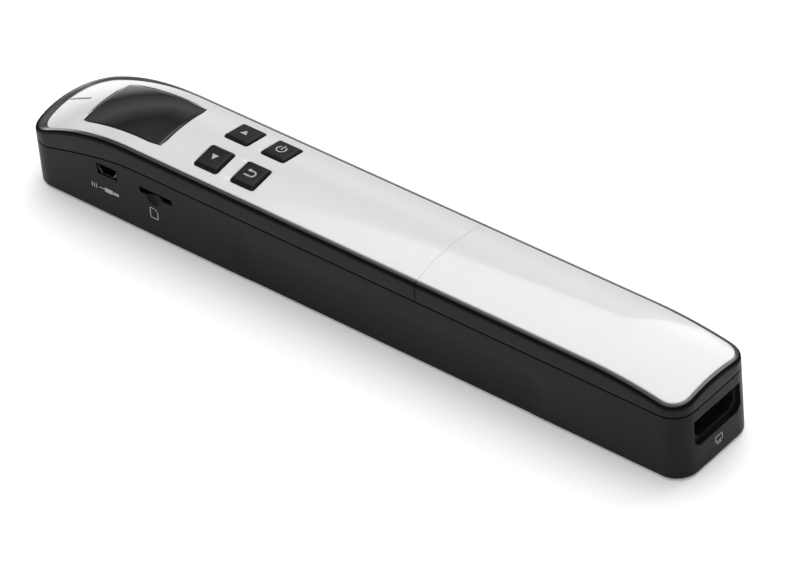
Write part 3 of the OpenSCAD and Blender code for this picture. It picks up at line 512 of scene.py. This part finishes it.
    m = Paint("roller_rubber_ground", (0.028, 0.028, 0.029), 0.75, specular=0.3)
    ground = m.noise(0.35, 4, stretch=(6, 1, 1))
    m.vary(ground, 0.3)
    m.roughen(ground, 0.1)
    m.bump(ground, 0.03, 0.6)
    p["rubber"] = m.m

    m = Paint("pad_rubber_black", (0.02, 0.02, 0.02), 0.65, specular=0.35)
    m.vary(m.noise(1.5, 4), 0.3)
    m.roughen(m.noise(0.8, 3), 0.1)
    m.bump(m.noise(0.25, 3), 0.02, 0.6)
    p["pad"] = m.m

    m = Paint("gear_acetal", (0.72, 0.70, 0.66), 0.4, specular=0.45, Subsurface_Weight=0.1)
    m.set("Subsurface Radius", (0.001, 0.001, 0.001))
    m.vary(m.noise(2, 3), 0.05)
    m.roughen(m.noise(1, 3), 0.06)
    m.bump(m.noise(0.3, 2), 0.006, 0.4)
    p["gear"] = m.m

    m = Paint("flat_cable_film", (0.62, 0.60, 0.52), 0.35, specular=0.5)
    wave = m.node("ShaderNodeTexWave", wave_type="BANDS", bands_direction="X")
    wave.inputs["Scale"].default_value = 160
    m.link(m.coord, wave.inputs["Vector"])
    m.link(m.mix(wave.outputs["Fac"], (0.66, 0.64, 0.56), (0.45, 0.30, 0.16)), m.b.inputs["Base Color"])
    m.bump(wave.outputs["Fac"], 0.03, 0.4)
    m.roughen(m.noise(2, 3), 0.06)
    p["cable"] = m.m

    m = Paint("studio_floor", (0.92, 0.92, 0.92), 0.85, specular=0.15, Emission_Strength=0.16,
              Emission_Color=(1, 1, 1, 1))
    m.vary(m.noise(300, 3), 0.004)
    m.bump(m.noise(4, 3), 0.02, 0.1)
    p["floor"] = m.m
    return p


MAT = make_materials()
BY_SLOT = {
    "housing_black": "housing", "panel_white": "panel", "window_black": "window",
    "button_black": "button", "light_guide": "light_guide", "steel": "steel",
    "circuit_board": "board", "inner_black": "inner", "battery_wrap": "battery",
    "contact_brass": "contact", "sensor_glass": "sensor_glass", "roller_rubber": "rubber",
    "pad_rubber": "pad", "gear_white": "gear", "flat_cable": "cable",
}


def dress_cad_nodes():
    """Every CAD node gets its node material, welded vertices and smooth round faces."""
    for part in frame["record"]["subparts"]:
        ob = NODES[part["node"]]
        me = ob.data
        me.materials.clear()
        me.materials.append(MAT[BY_SLOT[part["material_slot"]]])
        if "custom_normal" in me.attributes:
            me.attributes.remove(me.attributes["custom_normal"])
        me.shade_smooth()
        weld = ob.modifiers.new("weld", "WELD")
        weld.merge_threshold = 1e-6
        split = ob.modifiers.new("edges", "EDGE_SPLIT")
        split.split_angle = math.radians(28)
        split.use_edge_sharp = False


dress_cad_nodes()
# the socket shells take the darkened metal, painted shade for their recessed openings
for port in ("usb_socket_shell", "card_socket", "video_socket_shell"):
    NODES[port].data.materials[0] = MAT["port"]


# ------------------------------------------------------------------ covers, panels and window
def cover(name, end, split, past, holes):
    """A cover's outside: rounded foot, side band, fine groove, matt edge and glossy bezel; the matt
    edge's darker colour and near-zero reflection are painted shade for the dark crease line.
    """
    foot = "parting" if end == "left" else PARTING_Z
    # material 2 on the outer lip rings is the matt edge with its painted shade
    rings = [(0.3, foot, GAP, 0, 0), (0.14, foot, GAP + 0.1, 0, 0), (0.03, foot, GAP + 0.22, 0, 0),
             (0, foot, GAP + 0.36, 0, 0), (0, "skin", -1.15, 0, 0), (0.10, "skin", -1.09, 0, 0),
             (0.27, "skin", -1.02, 0, 0), (0.3, "skin", -0.95, 0, 0), (0.3, "skin", -0.74, 0, 2),
             (0.16, "skin", -0.64, 0, 2),
             (0.06, "skin", -0.54, 0, 2), (0.08, "skin", -0.44, 0.01, 2), (0.15, "skin", -0.35, 0.02, 2),
             (0.26, "skin", -0.26, 0.04, 2), (0.42, "skin", -0.17, 0.1, 2),
             (0.65, "skin", -0.09, 0.22, 1),
             (0.95, "skin", -0.035, 0.45, 1), (1.3, "skin", -0.01, 0.78, 1),
             (BEZEL - 0.1, "skin", -0.01, 1, 1), (BEZEL + 0.4, "skin", 0, 1, 1)]
    body = loft(name, end, rings, split, [MAT["housing"], MAT["bezel"], MAT["edge"]], 1)
    cavity = loft("cavity", end, [(WALL_IN, 8.0, 0, 1, 0), (WALL_IN, "skin", CEILING, 1, 0)], past)
    seat_low = -PANEL_THICK - 0.05
    seat = loft("seat", end, [(BEZEL, "skin", seat_low, 1, 0), (BEZEL, "skin", 1, 1, 0)], past)
    carve(body, [cavity, seat, *holes])
    smooth(body, 40)
    return body


def openings(edge, ledge):
    """Cutters for the window, the buttons and the status light."""
    cut = [hole_cutter(WINDOW_X, 0, WINDOW_L + WINDOW_CLEAR - 2 * ledge,
                       WINDOW_W + WINDOW_CLEAR - 2 * ledge, 0.3, edge)]
    for p in BUTTONS.values():
        side = BUTTON + 2 * BUTTON_GAP
        cut.append(hole_cutter(p.x, p.y, side, side, BUTTON_CORNER + BUTTON_GAP, edge))
    cut.append(hole_cutter(SLIT_X, 0, SLIT_L, SLIT_W, 0.2, edge * 0.5))
    return cut


def panel(name, end, split, holes):
    """A white panel with a rounded upper edge."""
    e = BEZEL + 0.06
    rings = [(e, "skin", -PANEL_THICK, 1, 0), (e, "skin", -0.3, 1, 0), (e + 0.015, "skin", -0.2, 1, 0),
             (e + 0.06, "skin", -0.11, 1, 0), (e + 0.13, "skin", -0.045, 1, 0),
             (e + 0.22, "skin", -0.01, 1, 0), (e + 0.34, "skin", 0, 1, 0), (e + 0.6, "skin", 0, 1, 0)]
    ob = loft(name, end, rings, split, [MAT["panel"]])
    if holes:
        carve(ob, holes)
    smooth(ob, 40)
    return ob


def place(ob, body, slot, *nodes):
    """Gives a piece its body and hides the CAD nodes that it stands for. The slot is not used."""
    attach(ob, body)
    if nodes:
        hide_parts(*nodes)
    return ob


place(panel("control_panel_shell", "left", LEFT_SPLIT + SPLIT_GROW, openings(0.14, 0)), "base",
      "panel_white", "control_panel")
place(panel("battery_panel_shell", "right", RIGHT_SPLIT - SPLIT_GROW, []), "battery_lid",
      "panel_white", "battery_cover_panel")
place(cover("control_cover_shell", "left", LEFT_SPLIT, LEFT_SPLIT + 1, openings(0.02, 0.9)), "base",
      "housing_black", "upper_cover")
place(cover("battery_cover_shell", "right", RIGHT_SPLIT, RIGHT_SPLIT - 1, []), "battery_lid",
      "housing_black", "battery_cover")


def crowned_plate(name, x0, x1, y0, y1, low, high, edge, mats):
    """A plate that follows the crown, with a rounded upper edge: a grid top on rounded-corner rings."""
    verts, faces = [], []

    def stations(a, b, n):
        near = [a + edge * (1 - math.cos(q)) for q in np.linspace(0, math.pi / 2, 5)]
        between = list(np.linspace(a + edge, b - edge, n))[1:-1]
        return near + between + [b + a - v for v in reversed(near)]

    def fall(v, a, b):
        return max(0.0, edge - (v - a), edge - (b - v)) / edge

    xs, ys = stations(x0, x1, 30), stations(y0, y1, 24)

    for x in xs:
        for y in ys:
            d = min(1.0, math.hypot(fall(x, x0, x1), fall(y, y0, y1)))
            verts.append((x, y, skin(x, y) + high - edge * (1 - math.sqrt(max(0.0, 1 - d * d)))))
    cols = len(ys)
    for i in range(len(xs) - 1):
        for j in range(cols - 1):
            a = i * cols + j
            faces.append((a, a + cols, a + cols + 1, a + 1))
    rim = ([i * cols for i in range(len(xs) - 1)] + [(len(xs) - 1) * cols + j for j in range(cols - 1)]
           + [i * cols + cols - 1 for i in range(len(xs) - 1, 0, -1)] + list(range(cols - 1, 0, -1)))
    at = len(verts)
    verts += [(verts[k][0], verts[k][1], skin(verts[k][0], verts[k][1]) + low) for k in rim]
    for k in range(len(rim)):
        b = (k + 1) % len(rim)
        faces.append((rim[k], at + k, at + b, rim[b]))
    faces.append(tuple(at + k for k in range(len(rim))))
    ob = new_object(name, verts, faces, mats)
    smooth(ob, 40)
    return ob


place(crowned_plate("display_lens", WINDOW_X - WINDOW_L / 2, WINDOW_X + WINDOW_L / 2, -WINDOW_W / 2,
                    WINDOW_W / 2, -PANEL_THICK, -0.06, 0.16, [MAT["window"]]),
      "base", "window_black", "display_window")


# ------------------------------------------------------------------ buttons
def button(name, at, node, body):
    """A keycap: stem, flange under the panel, and a bevelled top that follows the crown."""
    rim = [(BUTTON_PROUD - 0.66, 0.0), (BUTTON_PROUD - 0.56, 0.02), (BUTTON_PROUD - 0.47, 0.07),
           (BUTTON_PROUD - 0.40, 0.15), (BUTTON_PROUD - 0.05, 0.66), (BUTTON_PROUD - 0.01, 0.74),
           (BUTTON_PROUD, 0.86), (BUTTON_PROUD, 1.2)]
    levels = []
    stem, flange = (3.2, 1.59), (BUTTON + 1.8, 1.2)
    for z, (side, corner) in ((27.5, stem), (FLANGE_LOW, stem), (FLANGE_LOW, flange),
                              (FLANGE_HIGH, flange), (FLANGE_HIGH, (BUTTON, BUTTON_CORNER))):
        levels.append([(at.x + x, at.y + y, z) for x, y in rounded_rect(side, side, corner, 7)])
    for off, inset in rim:
        side, corner = BUTTON - 2 * inset, max(0.35, BUTTON_CORNER - 0.6 * inset)
        pts = rounded_rect(side, side, corner, 7)
        levels.append([(at.x + x, at.y + y, skin(at.x + x, at.y + y) + off) for x, y in pts])
    ob = stack(name, levels, [MAT["button"]])
    smooth(ob, 38)
    return place(ob, body, "button_black", node)


for key in ("up", "down", "power", "back"):
    button(key + "_keycap", BUTTONS[key], key + "_button", key + "_key")


# ------------------------------------------------------------------ printed signs
def sign(name, shapes, to_world, body, thick=0.03):
    """Thin printed shapes.  Each shape is a list of plan points, to_world maps (u, v, height)."""
    verts, faces = [], []
    for pts in shapes:
        at, n = len(verts), len(pts)
        verts += [to_world(u, v, -0.05) for u, v in pts] + [to_world(u, v, thick) for u, v in pts]
        faces.append(tuple(at + k for k in range(n)))
        faces.append(tuple(at + n + k for k in range(n)))
        faces += [(at + k, at + (k + 1) % n, at + n + (k + 1) % n, at + n + k) for k in range(n)]
    ob = new_object(name, verts, faces, [MAT["sign"]])
    return place(ob, body, "light_guide")


def stroke(points, width):
    """Quads along a polyline, one per stretch, with a little overlap at the joints."""
    out = []
    for (x0, y0), (x1, y1) in zip(points, points[1:]):
        d = math.hypot(x1 - x0, y1 - y0) or 1
        ux, uy = (x1 - x0) / d * width / 2, (y1 - y0) / d * width / 2
        out.append([(x0 - ux + uy, y0 - uy - ux), (x1 + ux + uy, y1 + uy - ux),
                    (x1 + ux - uy, y1 + uy + ux), (x0 - ux - uy, y0 - uy + ux)])
    return out


def arc(cx, cy, r, a0, a1, n=20):
    return [(cx + r * math.cos(a), cy + r * math.sin(a))
            for a in np.linspace(math.radians(a0), math.radians(a1), n)]


def on_cap(at):
    return lambda u, v, h: (at.x + u, at.y + v, skin(at.x + u, at.y + v) + BUTTON_PROUD + h)


sign("up_sign", [[(-1.25, -0.9), (1.25, -0.9), (0, 1.2)]], on_cap(BUTTONS["up"]), "up_key")
sign("down_sign", [[(-1.25, 0.9), (0, -1.2), (1.25, 0.9)]], on_cap(BUTTONS["down"]), "down_key")
sign("power_sign", stroke(arc(0, 0, 1.55, 128, 412, 26), 0.42) + stroke([(0, 0), (0, 2.0)], 0.42),
     on_cap(BUTTONS["power"]), "power_key")
sign("back_sign",
     stroke([(-1.6, -1.05), (0.7, -1.05)] + arc(0.7, 0, 1.05, -90, 90, 12) + [(-0.8, 1.05)], 0.5)
     + [[(-1.7, 1.05), (-0.7, 0.35), (-0.7, 1.75)]], on_cap(BUTTONS["back"]), "back_key")


def on_side(x0, z0):
    return lambda u, v, h: (x0 + u, -HALF_W - h, z0 + v)


# three strokes beside a plug, then a card with a cut corner
sign("usb_sign", stroke([(-6.6, -0.7), (-6.6, 0.7)], 0.3) + stroke([(-5.7, -0.7), (-5.7, 0.7)], 0.3)
     + stroke([(-4.8, -0.7), (-4.8, 0.7)], 0.3) + stroke([(-3.6, 0), (-1.2, 0)], 0.3)
     + [[(-1.3, -0.8), (2.0, -0.8), (2.0, 0.8), (-1.3, 0.8)],
        [(2.3, -0.5), (4.5, -0.5), (4.5, 0.5), (2.3, 0.5)]],
     on_side(-93.2, STANDOFF + 9.35), "base", 0.02)
sign("card_sign",
     stroke([(-1.5, -1.9), (1.5, -1.9), (1.5, 1.0), (0.5, 1.9), (-1.5, 1.9), (-1.5, -1.9)], 0.3),
     on_side(-74.2, STANDOFF + 8.95), "base", 0.02)


def on_end(y0, z0):
    return lambda u, v, h: (HALF_L + h, y0 + u, z0 + v)


sign("screen_sign", stroke([(-1.6, -0.6), (1.6, -0.6), (1.6, 1.4), (-1.6, 1.4), (-1.6, -0.6)], 0.28)
     + stroke([(-0.9, -1.4), (0.9, -1.4)], 0.28), on_end(0.4, STANDOFF + 5.2), "base", 0.02)


# ------------------------------------------------------------------ stage, lights and camera
def stage_set():
    """A wide pale disc of floor."""
    me = bpy.data.meshes.new("floor")
    n, r = 96, 6.0
    ring = [(r * math.cos(2 * math.pi * k / n), r * math.sin(2 * math.pi * k / n), 0) for k in range(n)]
    me.from_pydata(ring, [], [tuple(range(n))])
    me.materials.append(MAT["floor"])
    floor = bpy.data.objects.new("floor", me)
    bpy.context.scene.collection.objects.link(floor)


def softbox(name, edge_a, edge_b, width, radiance):
    """A flat light whose one long edge runs from edge_a to edge_b, in metres.  It rises from there."""
    a, b = Vector(edge_a), Vector(edge_b)
    mid, along = (a + b) / 2, (b - a).normalized()
    facing = mid.normalized()
    side = facing.cross(along).normalized()
    if side.z < 0:
        side = -side
    back = along.cross(side)
    if back.dot(facing) < 0:
        along = -along
        back = along.cross(side)
    light = bpy.data.lights.new(name, "AREA")
    light.shape = "RECTANGLE"
    light.size, light.size_y = (b - a).length, width
    light.energy = radiance * math.pi * light.size * width
    ob = bpy.data.objects.new(name, light)
    ob.matrix_world = Matrix.Translation(mid + side * width / 2) @ Matrix(
        (along, side, back)).transposed().to_4x4()
    bpy.context.scene.collection.objects.link(ob)


def lights():
    """A pale horizon under a darker ceiling, and one big softbox high behind."""
    world = bpy.data.worlds.new("studio")
    bpy.context.scene.world = world
    world.use_nodes = True
    t = world.node_tree
    bg = t.nodes["Background"]
    coord = t.nodes.new("ShaderNodeTexCoord")
    axes = t.nodes.new("ShaderNodeSeparateXYZ")
    ramp = t.nodes.new("ShaderNodeValToRGB")
    stops = ramp.color_ramp.elements
    for position, level in ((0.0, 1.0), (0.2, 1.0), (0.42, 0.7), (0.6, 0.26), (1.0, 0.16)):
        e = stops.new(position) if 0 < position < 1 else stops[int(position)]
        e.color = (level, level, level, 1)
    t.links.new(coord.outputs["Generated"], axes.inputs[0])
    t.links.new(axes.outputs["Z"], ramp.inputs[0])
    t.links.new(ramp.outputs[0], bg.inputs[0])
    bg.inputs[1].default_value = WORLD_LEVEL
    softbox("back_softbox", *SOFTBOX_EDGE, SOFTBOX_WIDTH, SOFTBOX_LEVEL)


def camera():
    """A long lens at a distance.  Lengths are in millimetres, the shift in widths of the frame."""
    sensor, lens = 36, 236.403
    shift = (-0.010375, -0.007625)
    az, el, roll = (math.radians(a) for a in (43.124, 39.032, -5.601))
    distance = 1567.65
    aim = Vector((12.51, 0, 8.42 + STANDOFF))
    back = Vector((math.sin(az) * math.cos(el), -math.cos(az) * math.cos(el), math.sin(el)))
    x = Vector((0, 0, 1)).cross(back).normalized()
    y = back.cross(x)
    xr = math.cos(roll) * x + math.sin(roll) * y
    yr = -math.sin(roll) * x + math.cos(roll) * y
    cam = bpy.data.cameras.new("camera")
    cam.sensor_width, cam.lens = sensor, lens
    cam.shift_x, cam.shift_y = shift
    cam.clip_start, cam.clip_end = 0.05, 50
    ob = bpy.data.objects.new("camera", cam)
    ob.matrix_world = Matrix.Translation((aim + back * distance) * MM) @ Matrix(
        (xr, yr, back)).transposed().to_4x4()
    bpy.context.scene.collection.objects.link(ob)
    bpy.context.scene.camera = ob


stage_set()
lights()
camera()
bpy.context.scene.view_settings.view_transform = "Standard"
bpy.context.scene.view_settings.look = "None"
